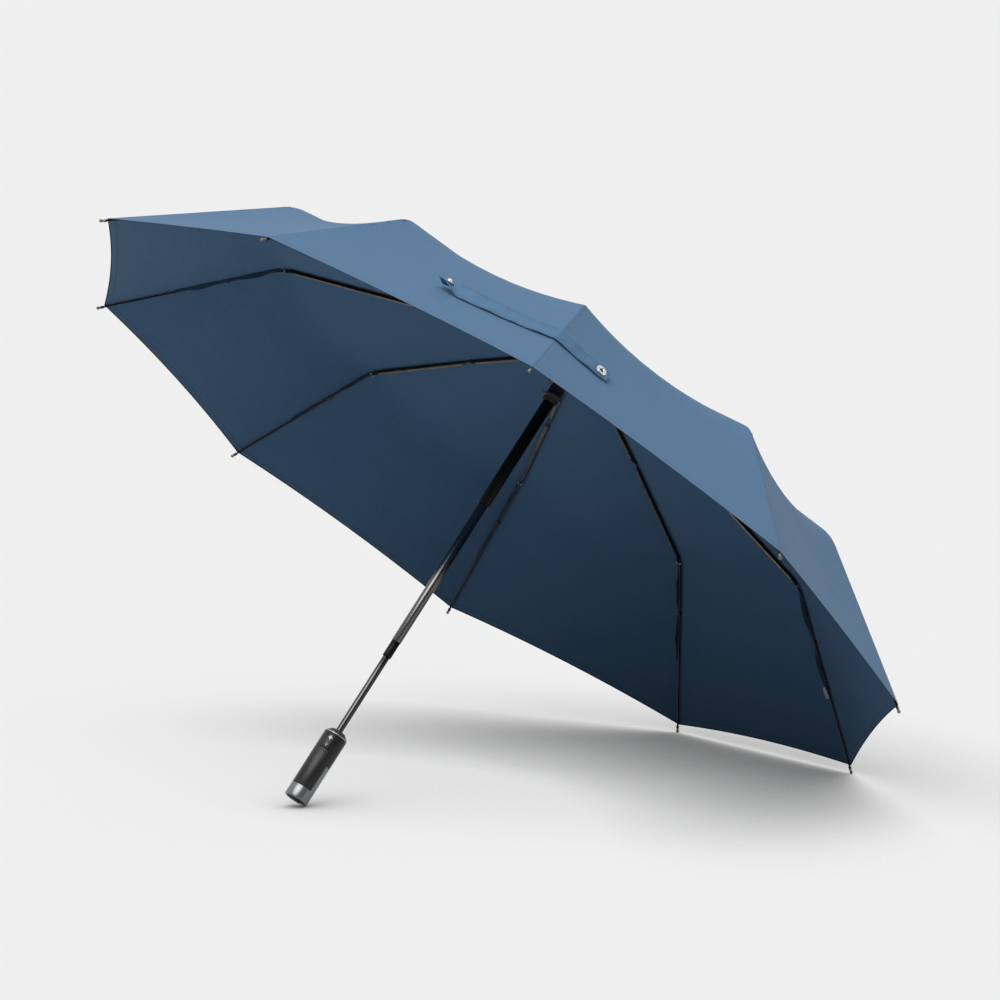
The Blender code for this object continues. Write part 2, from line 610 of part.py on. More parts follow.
# Closing strap: a band sewn across one rib's seam, one end lying flat and the other lifting
strap_low = ROWS[5]
strap_high = ROWS[8]
outer_length = math.dist(strap_low[:2], strap_high[:2])
strap_radius = strap_low[0] + (strap_high[0] - strap_low[0]) * STRAP_DISTANCE / outer_length
panel_width = 2.0 * math.sin(0.5 * RIB_STEP) * strap_radius


def strap_point(reach, across, lift):
    """Point over the strap's underside, reach along the band from the seam and across it to the rim."""
    part = (STRAP_DISTANCE + across) / outer_length
    row = [low + part * (high - low) for low, high in zip(strap_low, strap_high)]
    row[2] = PANEL_DIP * (1.0 - part)
    row[3] = RIM_SCALLOP * max(0.0, 1.5 * part - 0.5)
    near = fabric_point(row, STRAP_RIB - 1.0 + reach / panel_width)
    outward = Vector((near.x, near.y, 0.0)).normalized() * math.sin(OUTER_SLOPE)
    outward.z = math.cos(OUTER_SLOPE)
    rise = max(0.0, -reach / STRAP_LEFT)
    return near + outward * (STRAP_LIFT + STRAP_RISE * rise * rise + lift)


strap_grid = []
strap_steps = 16
for across in (-STRAP_HALF_WIDTH, 0.0, STRAP_HALF_WIDTH):
    line = []
    for k in range(strap_steps + 1):
        reach = -STRAP_LEFT + (STRAP_LEFT + STRAP_RIGHT) * k / strap_steps
        line.append(strap_point(reach, across, 0.0))
    strap_grid.append(line)
closing_strap = sheet("closing_strap", strap_grid, STRAP_THICKNESS, False)


def on_strap(made, reach):
    """Set a turned piece on the strap, its axis standing off the band."""
    step = 0.008
    lengthwise = strap_point(reach + step, 0.0, 0.0) - strap_point(reach - step, 0.0, 0.0)
    crosswise = strap_point(reach, step, 0.0) - strap_point(reach, -step, 0.0)
    normal = crosswise.cross(lengthwise).normalized()
    made.location = strap_point(reach, 0.0, 0.0) + normal * (STRAP_THICKNESS + 2.0 * GAP)
    made.rotation_mode = "QUATERNION"
    made.rotation_quaternion = normal.to_track_quat("Z", "X")


snap_profile = [
    (0.0026, 0.0), (0.0060, 0.0), (0.0062, 0.0008), (0.0054, 0.0018), (0.0034, 0.0020), (0.0026, 0.0012),
]
snap_socket = solid("snap_socket", turned(snap_profile, 18), "bright_metal")
on_strap(snap_socket, STRAP_RIGHT - 0.010)
stud_profile = [(0.0, 0.0), (0.0058, 0.0), (0.0060, 0.0008), (0.0046, 0.0018), (0.0, 0.0022)]
snap_stud = solid("snap_stud", turned(stud_profile, 18), "bright_metal")
on_strap(snap_stud, -STRAP_LEFT + 0.011)

# Tilt the umbrella until the handle's edge and the two lowest tips touch the floor, then centre it
tip = along(JOINT_B, OUTER_SLOPE, ball, HINGE_OFFSET)
lean = tip[0] * math.cos(0.5 * RIB_STEP) - HANDLE_RADIUS
rise = math.atan2(lean, tip[1]) + math.asin(TIP_RADIUS / math.hypot(lean, tip[1]))
umbrella.rotation_euler = (0.0, 0.5 * math.pi - rise, 0.0)
bpy.context.view_layer.update()
graph = bpy.context.evaluated_depsgraph_get()
corners = []
for made in bpy.data.objects:
    if made.type == "MESH":
        evaluated = made.evaluated_get(graph)
        corners += [made.matrix_world @ vertex.co for vertex in evaluated.data.vertices]
low = [min(corner[i] for corner in corners) for i in range(3)]
high = [max(corner[i] for corner in corners) for i in range(3)]
umbrella.location = (-0.5 * (low[0] + high[0]), -0.5 * (low[1] + high[1]), -low[2])
bpy.context.view_layer.update()
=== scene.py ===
"""Folding umbrella, open and lying on the edge of its handle and on two rib tips, dressed for the render."""
import json
import math

import bmesh
import bpy
from mathutils import Matrix, Quaternion, Vector


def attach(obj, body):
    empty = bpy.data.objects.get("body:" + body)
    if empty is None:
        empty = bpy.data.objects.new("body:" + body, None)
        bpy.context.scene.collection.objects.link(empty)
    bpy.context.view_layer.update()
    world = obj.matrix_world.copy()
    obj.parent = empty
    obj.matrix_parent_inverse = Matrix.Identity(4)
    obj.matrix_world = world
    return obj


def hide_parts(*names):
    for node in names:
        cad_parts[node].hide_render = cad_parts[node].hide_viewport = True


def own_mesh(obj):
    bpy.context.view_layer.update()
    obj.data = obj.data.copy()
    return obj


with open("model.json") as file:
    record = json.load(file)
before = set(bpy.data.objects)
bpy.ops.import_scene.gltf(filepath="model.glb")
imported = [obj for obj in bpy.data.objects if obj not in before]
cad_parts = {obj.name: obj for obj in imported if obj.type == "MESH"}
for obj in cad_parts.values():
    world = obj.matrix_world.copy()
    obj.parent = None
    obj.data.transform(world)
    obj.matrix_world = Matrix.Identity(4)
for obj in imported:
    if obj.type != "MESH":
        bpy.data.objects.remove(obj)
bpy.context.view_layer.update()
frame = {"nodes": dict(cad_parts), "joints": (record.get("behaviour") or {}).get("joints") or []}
scene = bpy.context.scene
scene.view_settings.view_transform = "Standard"


# Floor and light. A pale paper sweep that gives off part of its own light, so that its shadow stays
# weak, under one broad soft lamp, a weak fill from the side and a room that mirrors darker in front.
class Wire:
    """A shader socket that can take part in sums and start further nodes."""

    def __init__(self, socket):
        self.socket = socket
        self.tree = socket.id_data

    def node(self, kind, settings=None, links=None, out=0):
        """Add a node, set it up, link or fill its sockets and return one of its outputs."""
        made = self.tree.nodes.new(kind)
        for name, value in (settings or {}).items():
            setattr(made, name, value)
        for name, value in (links or {}).items():
            if isinstance(value, Wire):
                self.tree.links.new(value.socket, made.inputs[name])
            else:
                made.inputs[name].default_value = value
        return Wire(made.outputs[out])

    def sums(self, operation, first, second=0.0):
        return self.node("ShaderNodeMath", {"operation": operation}, {0: first, 1: second})

    def __add__(self, other):
        return self.sums("ADD", self, other)

    def __mul__(self, other):
        return self.sums("MULTIPLY", self, other)

    def __sub__(self, other):
        return self.sums("SUBTRACT", self, other)

    def __rsub__(self, other):
        return self.sums("SUBTRACT", other, self)

    def size(self):
        return self.sums("ABSOLUTE", self)

    def wave(self, frequency):
        return self.sums("SINE", self * frequency)

    def most(self, other):
        return self.sums("MAXIMUM", self, other)

    def vector(self, operation, second=(0.0, 0.0, 0.0), out=0):
        links = {0: self, 1: second}
        return self.node("ShaderNodeVectorMath", {"operation": operation}, links, out)

    def split(self):
        """First two parts of a vector."""
        parts = self.node("ShaderNodeSeparateXYZ", {}, {"Vector": self}).socket.node
        return Wire(parts.outputs[0]), Wire(parts.outputs[1])

    def fade(self, low, high):
        """0 below low, 1 above high, smooth between."""
        links = {"Value": self, "From Min": low, "From Max": high}
        return self.node("ShaderNodeMapRange", {"interpolation_type": "SMOOTHSTEP"}, links)

    def mixed(self, first, second):
        """Colour mixed by this factor."""
        made = self.tree.nodes.new("ShaderNodeMix")
        made.data_type = "RGBA"
        self.tree.links.new(self.socket, made.inputs[0])
        for socket, colour in ((made.inputs[6], first), (made.inputs[7], second)):
            if isinstance(colour, Wire):
                self.tree.links.new(colour.socket, socket)
            else:
                socket.default_value = (*colour, 1.0)
        return Wire(made.outputs[2])


class Finish:
    """A material with a Principled shader, its coordinates as a wire, and noise laid out in them."""

    def __init__(self, name, roughness=0.5, metallic=0.0, uv=False):
        self.material = bpy.data.materials.new(name)
        self.material.use_nodes = True
        self.tree = self.material.node_tree
        self.shader = self.tree.nodes["Principled BSDF"]
        self.shader.inputs["Roughness"].default_value = roughness
        self.shader.inputs["Metallic"].default_value = metallic
        coordinates = self.tree.nodes.new("ShaderNodeTexCoord")
        self.at = Wire(coordinates.outputs["UV" if uv else "Object"])

    def noise(self, scale, detail=2.0, stretch=(1.0, 1.0, 1.0)):
        place = self.at.node("ShaderNodeMapping", {}, {"Vector": self.at, "Scale": stretch})
        return place.node("ShaderNodeTexNoise", {}, {"Vector": place, "Scale": scale, "Detail": detail})

    def drawn(self, scale, frame_turn, stretch):
        """Noise drawn out along the third axis of a turned frame."""
        links = {"Vector": self.at, "Rotation": frame_turn, "Scale": (1.0, 1.0, stretch)}
        place = self.at.node("ShaderNodeMapping", {"vector_type": "TEXTURE"}, links)
        return place.node("ShaderNodeTexNoise", {}, {"Vector": place, "Scale": scale, "Detail": 2.0})

    def feed(self, socket, wire):
        self.tree.links.new(wire.socket, self.shader.inputs[socket])

    def bump(self, height, distance, strength=1.0):
        links = {"Height": height, "Distance": distance, "Strength": strength}
        self.feed("Normal", height.node("ShaderNodeBump", {}, links))


def rays(tree):
    """Wires that tell rays from the camera, mirrored rays and rays let through."""
    path = tree.nodes.new("ShaderNodeLightPath")
    return [Wire(path.outputs[f"Is {kind} Ray"]) for kind in ("Camera", "Glossy", "Transmission")]


PAPER = (0.88, 0.88, 0.88)
BOUNCE = (0.56, 0.56, 0.57)
SHADOW_SHARE = 0.31
CONTACT_REACH = 0.34
CONTACT_DEPTH = 1.45
CONTACT_SAMPLES = 6
FLOOR_HALF = 60.0
floor_mesh = bmesh.new()
bmesh.ops.create_grid(floor_mesh, x_segments=1, y_segments=1, size=FLOOR_HALF)
floor_data = bpy.data.meshes.new("floor")
floor_mesh.to_mesh(floor_data)
floor_mesh.free()
floor = bpy.data.objects.new("floor", floor_data)
scene.collection.objects.link(floor)
paper = Finish("paper", 0.9)
paper.shader.inputs["Base Color"].default_value = (*BOUNCE, 1.0)
paper.shader.inputs["Specular IOR Level"].default_value = 0.0
glow_strength = (PAPER[0] - SHADOW_SHARE * BOUNCE[0]) / (1.0 - SHADOW_SHARE)
# Painted shadow: the floor's own glow is darkened by ambient occlusion within CONTACT_REACH of the umbrella,
# deepest where it touches.
open_sky = paper.at.node(
    "ShaderNodeAmbientOcclusion", {"samples": CONTACT_SAMPLES}, {"Distance": CONTACT_REACH}, "AO")
painted_contact_shadow = open_sky.sums("POWER", open_sky, CONTACT_DEPTH)
glow = paper.at.node("ShaderNodeEmission", {}, {"Color": painted_contact_shadow, "Strength": glow_strength})
seen, mirrored, through = rays(paper.tree)
share = (seen + mirrored + through) * (1.0 - SHADOW_SHARE)
blend = paper.tree.nodes.new("ShaderNodeMixShader")
paper.tree.links.new(share.socket, blend.inputs[0])
paper.tree.links.new(paper.shader.outputs[0], blend.inputs[1])
paper.tree.links.new(glow.socket, blend.inputs[2])
paper.tree.links.new(blend.outputs[0], paper.tree.nodes["Material Output"].inputs["Surface"])
floor_data.materials.append(paper.material)

ROOM_LIGHT = 0.15
ROOM_FRONT = (-0.56, -0.82, 0.13)
FRONT_DARK = 0.85
FRONT_FADE = (0.2, 0.75)
world = bpy.data.worlds.new("room")
world.use_nodes = True
scene.world = world
backdrop = world.node_tree.nodes["Background"]
backdrop.inputs["Strength"].default_value = 1.0
outward = Wire(world.node_tree.nodes.new("ShaderNodeTexCoord").outputs["Generated"])
ahead = outward.vector("DOT_PRODUCT", ROOM_FRONT, "Value")
seen, mirrored, through = rays(world.node_tree)
shown = seen + through + mirrored * (1.0 - ahead.fade(*FRONT_FADE) * FRONT_DARK)
room = shown * (PAPER[0] - ROOM_LIGHT) + ROOM_LIGHT
world.node_tree.links.new(room.socket, backdrop.inputs["Color"])

LAMP_STRENGTH = 2.9
LAMP_SPREAD = math.radians(50.0)
LAMP_TURN = (math.radians(20.0), math.radians(-26.0), 0.0)
lamp_data = bpy.data.lights.new("overhead", "SUN")
lamp_data.energy = LAMP_STRENGTH
lamp_data.angle = LAMP_SPREAD
lamp = bpy.data.objects.new("overhead", lamp_data)
lamp.rotation_euler = LAMP_TURN
scene.collection.objects.link(lamp)
FILL_POWER = 4.0
FILL_SIZE = 1.6
FILL_PLACE = (2.9, -2.2, 0.9)
FILL_AIM = (0.0, 0.0, 0.45)
fill_data = bpy.data.lights.new("side_fill", "AREA")
fill_data.energy = FILL_POWER
fill_data.size = FILL_SIZE
fill = bpy.data.objects.new("side_fill", fill_data)
fill.location = FILL_PLACE
fill.rotation_euler = (fill.location - Vector(FILL_AIM)).to_track_quat("Z", "Y").to_euler()
scene.collection.objects.link(fill)


# The umbrella's own axes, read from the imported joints. Heights run up the shaft from the base of
# the handle, and angles go round it from the line that points to the floor.
RIB_COUNT = 10
RIB_STEP = 2.0 * math.pi / RIB_COUNT
CROWN_HEIGHT = 0.5982
joints = {joint["name"]: joint for joint in frame["joints"]}
hinge_names = ["fold"] + [f"top_rib_{k:02d}_turn" for k in range(2, RIB_COUNT + 1)]
crown_hinges = [Vector(joints[name]["pos_m"]) for name in hinge_names]
crown_centre = sum(crown_hinges, Vector()) / RIB_COUNT
up_shaft = -Vector(joints["upper_slide"]["axis"]).normalized()
to_floor = (crown_hinges[0] + crown_hinges[-1] - 2.0 * crown_centre).normalized()
sideways = up_shaft.cross(to_floor)
handle_foot = crown_centre - up_shaft * CROWN_HEIGHT
standing = Matrix((to_floor, sideways, up_shaft)).transposed().to_4x4()
standing.translation = handle_foot


# Camera at the photograph's angle: low, to the left of the shaft, with a long lens.
CAMERA_AZIMUTH = math.radians(-34.507)
CAMERA_ELEVATION = math.radians(7.317)
CAMERA_DISTANCE = 5.494
CAMERA_ROLL = math.radians(-0.4)
AIM_HEIGHT = 0.3675
CAMERA_LENS = 178.93
SENSOR_WIDTH = 36.0
CAMERA_SHIFT = (0.0284, 0.0235)
FARTHEST_SEEN = 200.0
camera_data = bpy.data.cameras.new("camera")
camera_data.lens = CAMERA_LENS
camera_data.sensor_width = SENSOR_WIDTH
camera_data.shift_x, camera_data.shift_y = CAMERA_SHIFT
camera_data.clip_end = FARTHEST_SEEN
camera = bpy.data.objects.new("camera", camera_data)
scene.collection.objects.link(camera)
level = math.cos(CAMERA_ELEVATION)
backwards = Vector((
    math.sin(CAMERA_AZIMUTH) * level, -math.cos(CAMERA_AZIMUTH) * level, math.sin(CAMERA_ELEVATION)))
camera.location = handle_foot + up_shaft * AIM_HEIGHT + backwards * CAMERA_DISTANCE
upright = backwards.to_track_quat("Z", "Y")
camera.rotation_euler = (upright @ Quaternion((0.0, 0.0, 1.0), -CAMERA_ROLL)).to_euler()
scene.camera = camera


# Canopy. Ten gores of thin woven polyester sewn along the ribs, pulled tight over the bend in each
# rib and sagging between them. It is cut into a pair of half-width strips for each length of each
# rib, so that the cloth can follow the ribs when they fold.
FABRIC_THICKNESS = 0.0004
HINGE_OFFSET = 0.0019
FABRIC_LIFT = 0.0039
OUTER_RIB = 0.2125
OUTER_SLOPE = math.radians(39.5)
MIDDLE_SLOPE = math.radians(10.9)
NECK = (0.0078, CROWN_HEIGHT + 0.0046)
RIM_LIFT = 0.0023
PANEL_DIP = 0.014
DIPS = (
    (0.0, 0.0), (0.5, 0.29), (1.0, 0.57), (1.55, 0.86),
    (2.0, 1.0), (2.33, 0.79), (2.66, 0.43), (3.0, 0.0),
)
RIM_SCALLOP = 0.0058
SCALLOPS = ((0.0, 0.0), (2.0, 0.0), (2.33, 0.1), (2.66, 0.45), (3.0, 1.0))
BEND_SPREAD = 0.07


def rib_plane(point):
    """Radius and height of a point in the umbrella's own frame."""
    local = standing.inverted() @ Vector(point)
    return Vector((math.hypot(local.x, local.y), local.z))


def turned_up(slope, x, z):
    """A step along a rib that falls by slope, and off it towards the cloth."""
    outward = x * math.cos(slope) + z * math.sin(slope)
    return Vector((outward, z * math.cos(slope) - x * math.sin(slope)))


joint_a = rib_plane(joints["middle_rib_01_turn"]["pos_m"])
joint_b = rib_plane(joints["outer_rib_01_turn"]["pos_m"])
half_bend = 0.5 * (OUTER_SLOPE - MIDDLE_SLOPE)
bend_lift = (FABRIC_LIFT + HINGE_OFFSET) / math.cos(half_bend)
rib_line = [
    Vector(NECK),
    joint_a + turned_up(MIDDLE_SLOPE, 0.0, FABRIC_LIFT - HINGE_OFFSET),
    joint_b + turned_up(MIDDLE_SLOPE + half_bend, 0.0, bend_lift),
    joint_b + turned_up(OUTER_SLOPE, OUTER_RIB, HINGE_OFFSET + RIM_LIFT),
]


def between(knots, place):
    """Value at a place on a line of (place, value) knots."""
    for (first, low), (second, high) in zip(knots, knots[1:]):
        if place <= second:
            return low + (high - low) * (place - first) / (second - first)
    return knots[-1][1]


def over_rib(reach):
    """Radius and height of the cloth over a rib, eased round the bend."""
    zone = min(2, max(0, int(reach)))
    point = rib_line[zone].lerp(rib_line[zone + 1], reach - zone)
    near = abs(reach - 2.0)
    if near < BEND_SPREAD:
        change = rib_line[3] - 2.0 * rib_line[2] + rib_line[1]
        point = point + change * (BEND_SPREAD - near) ** 2 / (4.0 * BEND_SPREAD)
    return point


hollow_line = [(place, over_rib(place) - Vector((0.0, PANEL_DIP * dip))) for place, dip in DIPS]


def mid_panel(reach):
    """Radius and height of the cloth halfway between two ribs, a smooth curve through its knots."""
    last = len(hollow_line) - 1
    index = max(k for k in range(last) if hollow_line[k][0] <= max(0.0, reach))
    (start, first), (stop, second) = hollow_line[index:index + 2]
    before = hollow_line[max(0, index - 1)]
    after = hollow_line[min(last, index + 2)]
    leaving = (second - before[1]) * ((stop - start) / (stop - before[0]))
    arriving = (after[1] - first) * ((stop - start) / (after[0] - start))
    t = (reach - start) / (stop - start)
    point = first * (2.0 * t ** 3 - 3.0 * t ** 2 + 1.0) + second * (3.0 * t ** 2 - 2.0 * t ** 3)
    return point + leaving * (t ** 3 - 2.0 * t ** 2 + t) + arriving * (t ** 3 - t ** 2)


def cloth_point(reach, panel):
    """Point on the cloth: reach goes from 0 at the neck to 3 at the rim, panel counts the ribs."""
    number = math.floor(panel)
    part = panel - number
    hollow = 4.0 * part * (1.0 - part)
    radius, height = over_rib(reach).lerp(mid_panel(reach), hollow)
    first = (number + 0.5) * RIB_STEP
    second = first + RIB_STEP
    scallop = hollow * RIM_SCALLOP * between(SCALLOPS, reach)
    inner = radius - scallop * math.cos(OUTER_SLOPE)
    x = inner * ((1.0 - part) * math.cos(first) + part * math.cos(second))
    y = inner * ((1.0 - part) * math.sin(first) + part * math.sin(second))
    return Vector((x, y, height + scallop * math.sin(OUTER_SLOPE)))


def cloth_normal(reach, panel):
    """Outward direction of the cloth there, averaged across a seam or a bend."""
    step = 0.004
    low = max(0.0, reach - step)
    high = min(3.0, reach + step)
    outward = cloth_point(high, panel) - cloth_point(low, panel)
    around = cloth_point(reach, panel + step) - cloth_point(reach, panel - step)
    return outward.cross(around).normalized()


RIM_PAINTED_SHADE = (0.008, 0.014, 0.022)
THREADS = 9000.0
STITCHES = 2100.0
STITCH_GAP = (-0.2, 0.3)
STITCH_EDGE = (0.0003, 0.0008)
SEAM_EDGE = (0.0005, 0.0014)
SEAM_FOLD = 0.0055
HEM_PLACE = 0.0085
HEM_EDGE = (0.0004, 0.0011)
RIM_EDGE = (0.0008, 0.0022)
PATCH_SCALE = 9.0
CREASE_SCALE = 16.0
PULL_SCALE = 60.0
SLUB_SCALE = 450.0
CLOTH_RELIEF = 0.0022


def woven(name, colour, deep, seam_colour, gloss=0.5, rim_shade=0.3, grain=0.0):
    """Plain-weave cloth with a sewn seam along each rib, a stitched hem, soft pulled creases and painted
    shade along the rim.
    """
    cloth = Finish(name, 0.72, 0.0, uv=True)
    across, inward = cloth.at.split()
    weave = across.wave(THREADS) * inward.wave(THREADS)
    patches = cloth.noise(PATCH_SCALE, 3.0)
    creases = cloth.noise(CREASE_SCALE, 3.0, (0.35, 1.6, 1.0))
    pulled = cloth.noise(PULL_SCALE, 2.0, (1.0, 0.16, 1.0))
    stitch = inward.wave(STITCHES).fade(*STITCH_GAP)
    seam = 1.0 - across.size().fade(*SEAM_EDGE)
    fold_edge = (across.size() - SEAM_FOLD).size()
    tacked = (1.0 - fold_edge.fade(*STITCH_EDGE)) * stitch
    hem_stitch = across.wave(STITCHES).fade(*STITCH_GAP)
    hem = 1.0 - (inward - HEM_PLACE).size().fade(*HEM_EDGE)
    # Painted shade: rim marks a band along the cloth's edge, which is darkened towards a near-black blue by
    # the edge weight.
    rim = 1.0 - inward.fade(*RIM_EDGE)
    slub = (cloth.noise(SLUB_SCALE, 1.0) - 0.5) * grain
    tone = (patches * 0.55 + pulled * 0.25 + weave * 0.04 + slub).fade(0.12, 0.68)
    base = tone.mixed(deep, colour)
    sewn = (seam * 0.3).most((hem * hem_stitch * 0.7).most(tacked * 0.15))
    cloth.feed("Base Color", (rim * rim_shade).mixed(sewn.mixed(base, seam_colour), RIM_PAINTED_SHADE))
    cloth.feed("Roughness", tone * 0.12 + 0.64)
    sewing = seam * 0.22 - hem * 0.12 - fold_edge.fade(0.0, 0.0012) * 0.03
    cloth.bump(creases * 1.1 + pulled * 0.25 + weave * 0.012 + sewing, CLOTH_RELIEF, 0.85)
    cloth.shader.inputs["Specular IOR Level"].default_value = gloss
    return cloth.material


CLOTH_BLUE = (0.086, 0.186, 0.322)
CLOTH_DEEP = (0.070, 0.158, 0.282)
# The inside of the canopy is the same cloth as the outside. Its copy is painted a little darker as painted
# shade, with less gloss, more grain and a darker rim.
INSIDE_SHADED_BLUE = (0.078, 0.163, 0.283)
THREAD_BLUE = (0.040, 0.085, 0.150)
INSIDE_SHADED_DEEP = tuple(0.86 * c for c in INSIDE_SHADED_BLUE)
canopy_cloth = woven("canopy_cloth", CLOTH_BLUE, CLOTH_DEEP, THREAD_BLUE, gloss=0.55)
canopy_inside_shaded = woven(
    "canopy_inside_shaded", INSIDE_SHADED_BLUE, INSIDE_SHADED_DEEP, THREAD_BLUE, gloss=0.12, rim_shade=0.95, grain=2.0)
zone_lengths = [(second - first).length for first, second in zip(rib_line, rib_line[1:])]
ACROSS = 8
CROWDING = 1.8
BEND_CROWDING = 1.6
ALONG = (14, 14, 18)


def smooth_piece(name, bm, material, sharp=math.radians(35.0)):
    """Mesh object from a bmesh, smooth apart from its sharp edges."""
    data = bpy.data.meshes.new(name)
    bm.to_mesh(data)
    bm.free()
    data.shade_smooth()
    data.set_sharp_from_angle(angle=sharp)
    data.materials.append(material)
    made = bpy.data.objects.new(name, data)
    scene.collection.objects.link(made)
    return made


def canopy_strip(name, number, zone, side):
    """Strip of cloth over one length of one rib, reaching half a panel to one side of it."""
    bm = bmesh.new()
    bmesh.ops.create_grid(bm, x_segments=ACROSS, y_segments=ALONG[zone], size=0.5)
    reach_layer = bm.verts.layers.float.new("reach")
    panel_layer = bm.verts.layers.float.new("panel")
    uv_layer = bm.loops.layers.uv.new("UVMap")
    for vertex in bm.verts:
        x, y = vertex.co.x + 0.5, vertex.co.y + 0.5
        crowded = (y, 1.0 - (1.0 - y) ** BEND_CROWDING, y ** BEND_CROWDING)[zone]
        vertex[reach_layer] = zone + crowded
        vertex[panel_layer] = number - 1 + side * 0.5 * x ** CROWDING
    for face in bm.faces:
        for loop in face.loops:
            reach = loop.vert[reach_layer]
            panel = loop.vert[panel_layer]
            left = zone_lengths[zone] * (zone + 1.0 - reach) + sum(zone_lengths[zone + 1:])
            radius = cloth_point(reach, number - 1).xy.length
            loop[uv_layer].uv = ((panel - number + 1) * RIB_STEP * radius, left)
    for vertex in bm.verts:
        vertex.co = cloth_point(vertex[reach_layer], vertex[panel_layer])
    bm.normal_update()
    inside_out = [f for f in bm.faces if f.normal.dot(cloth_normal(zone + 0.5, number - 1)) < 0.0]
    bmesh.ops.reverse_faces(bm, faces=inside_out)
    bmesh.ops.solidify(bm, geom=bm.faces[:], thickness=FABRIC_THICKNESS)
    bm.normal_update()
    directions = []
    for face in bm.faces:
        for loop in face.loops:
            normal = cloth_normal(loop.vert[reach_layer], loop.vert[panel_layer])
            facing = face.normal.dot(normal)
            # Faces turned inwards take the darker inside copy of the cloth, painted shade; thin edge faces
            # take it too, so that the rim edge shows its painted shade.
            if abs(facing) < 0.5:
                normal = face.normal.copy()
                face.material_index = 1
            elif facing < 0.0:
                normal.negate()
                face.material_index = 1
            directions.append(standing.to_3x3() @ normal)
    bmesh.ops.transform(bm, matrix=standing, verts=bm.verts)
    made = smooth_piece(name, bm, canopy_cloth)
    made.data.materials.append(canopy_inside_shaded)
    made.data.normals_split_custom_set(directions)
    return made


def gathering_line(number, zone, side):
    """Way a strip would draw in to its rib when the ribs fold, and the point on the rib it would draw in to.
    """
    on_seam = cloth_point(zone + 0.5, number - 1)
    seam_way = (cloth_point(zone + 0.9, number - 1) - cloth_point(zone + 0.1, number - 1)).normalized()
    drawn = Vector()
    for reach in (zone + 0.15, zone + 0.5, zone + 0.85):
        drawn += cloth_point(reach, number - 1 + 0.5 * side) - cloth_point(reach, number - 1)
    drawn -= seam_way * drawn.dot(seam_way)
    return (standing.to_3x3() @ drawn).normalized(), standing @ on_seam


zone_bodies = ("top_rib", "middle_rib", "outer_rib")
for number in range(1, RIB_COUNT + 1):
    for zone, body in enumerate(zone_bodies):
        for side, suffix in ((-1.0, "a"), (1.0, "b")):
            strip = canopy_strip(f"canopy_{body}_{number:02d}_{suffix}", number, zone, side)
            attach(strip, f"{body}_{number:02d}")
            way, seam_point = gathering_line(number, zone, side)
            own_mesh(strip)
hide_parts("canopy")


# Closing strap. A band of the same cloth, doubled and stitched along both edges, sewn across one
# seam beyond the bend. One end lies flat, the other twists up off the canopy and curls over.
STRAP_RIB = 7
STRAP_LEFT = 0.142
STRAP_RIGHT = 0.067
STRAP_HALF_WIDTH = 0.0095
STRAP_DISTANCE = 0.117
STRAP_CLEAR = 0.0016
STRAP_TILT = math.radians(11.0)
STRAP_TWIST = math.radians(30.0)
STRAP_TWIST_POWER = 1.4
STRAP_CURL = 0.80
STRAP_CURL_RATE = 1.3
STRAP_END = math.radians(-32.0)
STRAP_PLEAT = 0.0007
STRAP_PLEAT_WAVES = (150.0, 90.0, 61.0)
STRAP_THICKNESS = 0.0012
STRAP_STITCHES = 2200.0
STRAP_STITCH_INSET = 0.0022
STRAP_STEPS = 120
outer_length = zone_lengths[2]
strap_length = STRAP_LEFT + STRAP_RIGHT
strap_radius = rib_line[2].lerp(rib_line[3], STRAP_DISTANCE / outer_length).x
panel_width = 2.0 * math.sin(0.5 * RIB_STEP) * strap_radius


def strap_point(along, across):
    """Point on the strap's underside, along it from the seam and across it towards the rim."""
    lifted = max(0.0, -along / STRAP_LEFT)
    raised = STRAP_TILT + STRAP_TWIST * lifted ** STRAP_TWIST_POWER
    curl = max(0.0, (lifted - STRAP_CURL) / (1.0 - STRAP_CURL))
    curl = min(1.0, STRAP_CURL_RATE * curl)
    tilt = raised + (STRAP_END - raised) * curl * curl * (3.0 - 2.0 * curl)
    reach = 2.0 + (STRAP_DISTANCE + across * math.cos(tilt)) / outer_length
    panel = STRAP_RIB - 1 + along / panel_width
    lengthwise, crosswise, beat = STRAP_PLEAT_WAVES
    pleat = STRAP_PLEAT * math.sin(along * lengthwise + across * crosswise) * math.sin(along * beat)
    height = STRAP_CLEAR + STRAP_HALF_WIDTH * math.sin(raised) - across * math.sin(tilt) + pleat
    return cloth_point(reach, panel) + cloth_normal(reach, panel) * height


def strap_flat(vertex):
    """Place along and across the strap of a vertex on its unit grid."""
    return -STRAP_LEFT + (vertex.co.x + 0.5) * strap_length, vertex.co.y * 2.0 * STRAP_HALF_WIDTH


strap = bmesh.new()
bmesh.ops.create_grid(strap, x_segments=STRAP_STEPS, y_segments=6, size=0.5)
strap_uv = strap.loops.layers.uv.new("UVMap")
for face in strap.faces:
    for loop in face.loops:
        loop[strap_uv].uv = strap_flat(loop.vert)
for vertex in strap.verts:
    vertex.co = strap_point(*strap_flat(vertex))
strap.normal_update()
strap_out = cloth_normal(2.0 + STRAP_DISTANCE / outer_length, STRAP_RIB - 1)
bmesh.ops.reverse_faces(strap, faces=[f for f in strap.faces if f.normal.dot(strap_out) > 0.0])
bmesh.ops.solidify(strap, geom=strap.faces[:], thickness=STRAP_THICKNESS)
bmesh.ops.recalc_face_normals(strap, faces=strap.faces)
bmesh.ops.transform(strap, matrix=standing, verts=strap.verts)
band = Finish("strap_cloth", 0.75, 0.0, uv=True)
band_along, band_across = band.at.split()
band_stitch = band_along.wave(STRAP_STITCHES).fade(*STITCH_GAP)
stitch_place = STRAP_HALF_WIDTH - STRAP_STITCH_INSET
band_line = 1.0 - (band_across.size() - stitch_place).size().fade(*STITCH_EDGE)
